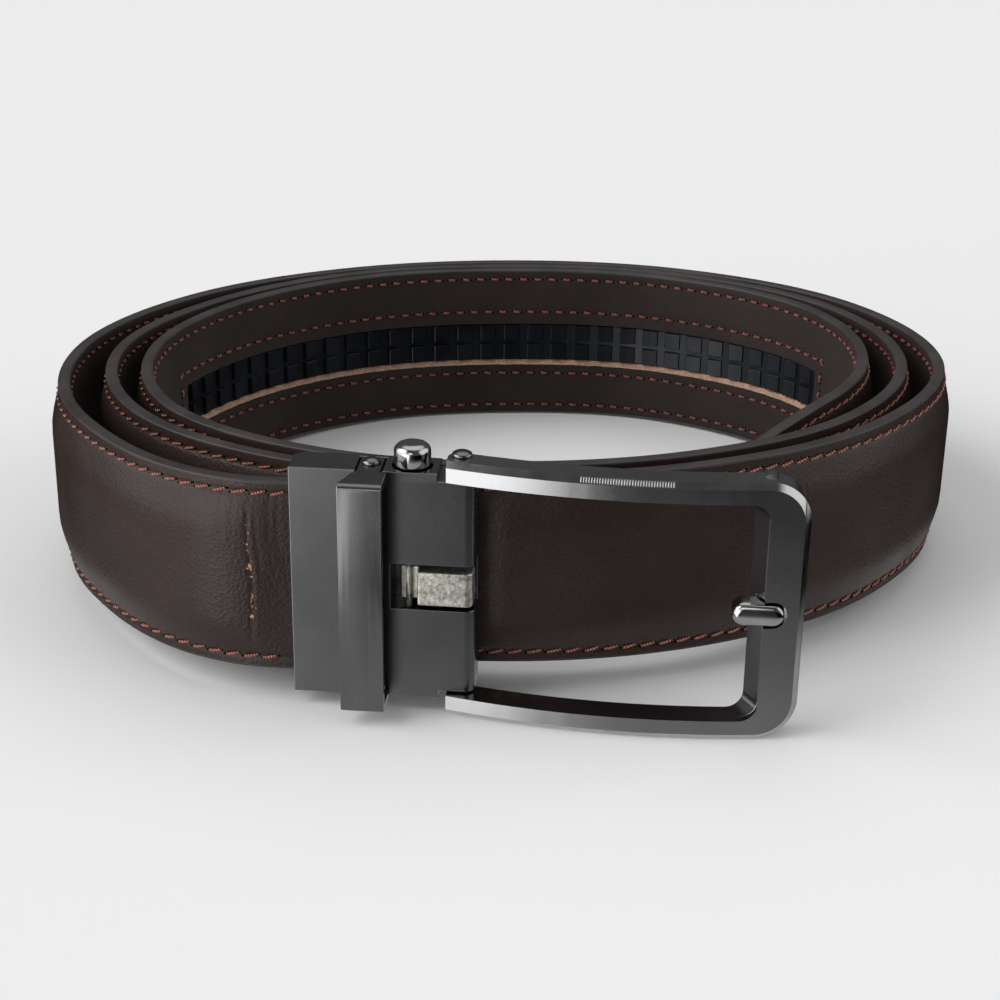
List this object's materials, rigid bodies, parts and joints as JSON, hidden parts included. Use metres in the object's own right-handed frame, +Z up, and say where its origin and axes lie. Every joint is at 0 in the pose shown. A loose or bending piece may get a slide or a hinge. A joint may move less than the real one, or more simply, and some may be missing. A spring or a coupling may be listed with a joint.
{
  "type": "ratchet belt",
  "caption": "Padded leather belt with a ratchet buckle, rolled up and standing on its edge; the toothed track on its inner side slides through the buckle and locks.",
  "frame": {"origin": "on the floor, under the middle of the rolled-up belt's footprint", "axes": "+X to the right along the buckle, +Y away from someone who looks at the buckle's front, +Z up across the strap's width"},
  "size_m": [0.1788, 0.1646, 0.0485],
  "materials": {
    "outer_leather": "satin grain",
    "lining_leather": "matte",
    "track_plastic": "satin black",
    "gunmetal": "black nickel plating over zinc alloy, satin with polished edges",
    "button_metal": "polished black nickel",
    "pawl_metal": "tumbled bare steel"
  },
  "bodies": {
    "belt": {"strap_face": "outer_leather", "strap_lining": "lining_leather", "ratchet_track": "track_plastic", "buckle_housing": "gunmetal", "keeper_loop": "gunmetal", "loop_rivet_top": "gunmetal", "loop_rivet_bottom": "gunmetal", "pawl_pin": "pawl_metal", "frame_rivet_top": "gunmetal", "frame_rivet_bottom": "gunmetal"},
    "frame": {"buckle_frame": "gunmetal", "prong": "gunmetal"},
    "button": {"release_button": "button_metal"},
    "pawl": {"pawl": "pawl_metal"}
  },
  "joints": [
    {"name": "frame_hinge", "type": "hinge", "parent": "belt", "child": "frame", "pos_m": [-0.00765, -0.07092, 0.0235], "axis": [0, 0, 1], "range_deg": [-30, 8]},
    {"name": "button_press", "type": "slide", "parent": "belt", "child": "button", "axis": [0, 0, -1], "range_m": [0, 0.002], "stiffness_N_per_m": 300, "springref_m": -0.002},
    {"name": "pawl_turn", "type": "hinge", "parent": "belt", "child": "pawl", "pos_m": [-0.01652, -0.07135, 0.0235], "axis": [0, 0, 1], "range_deg": [0, 6]}
  ],
  "couplings": [
    {"joint": "pawl_turn", "follows": "button_press", "rad_per_m": 52.36}
  ]
}
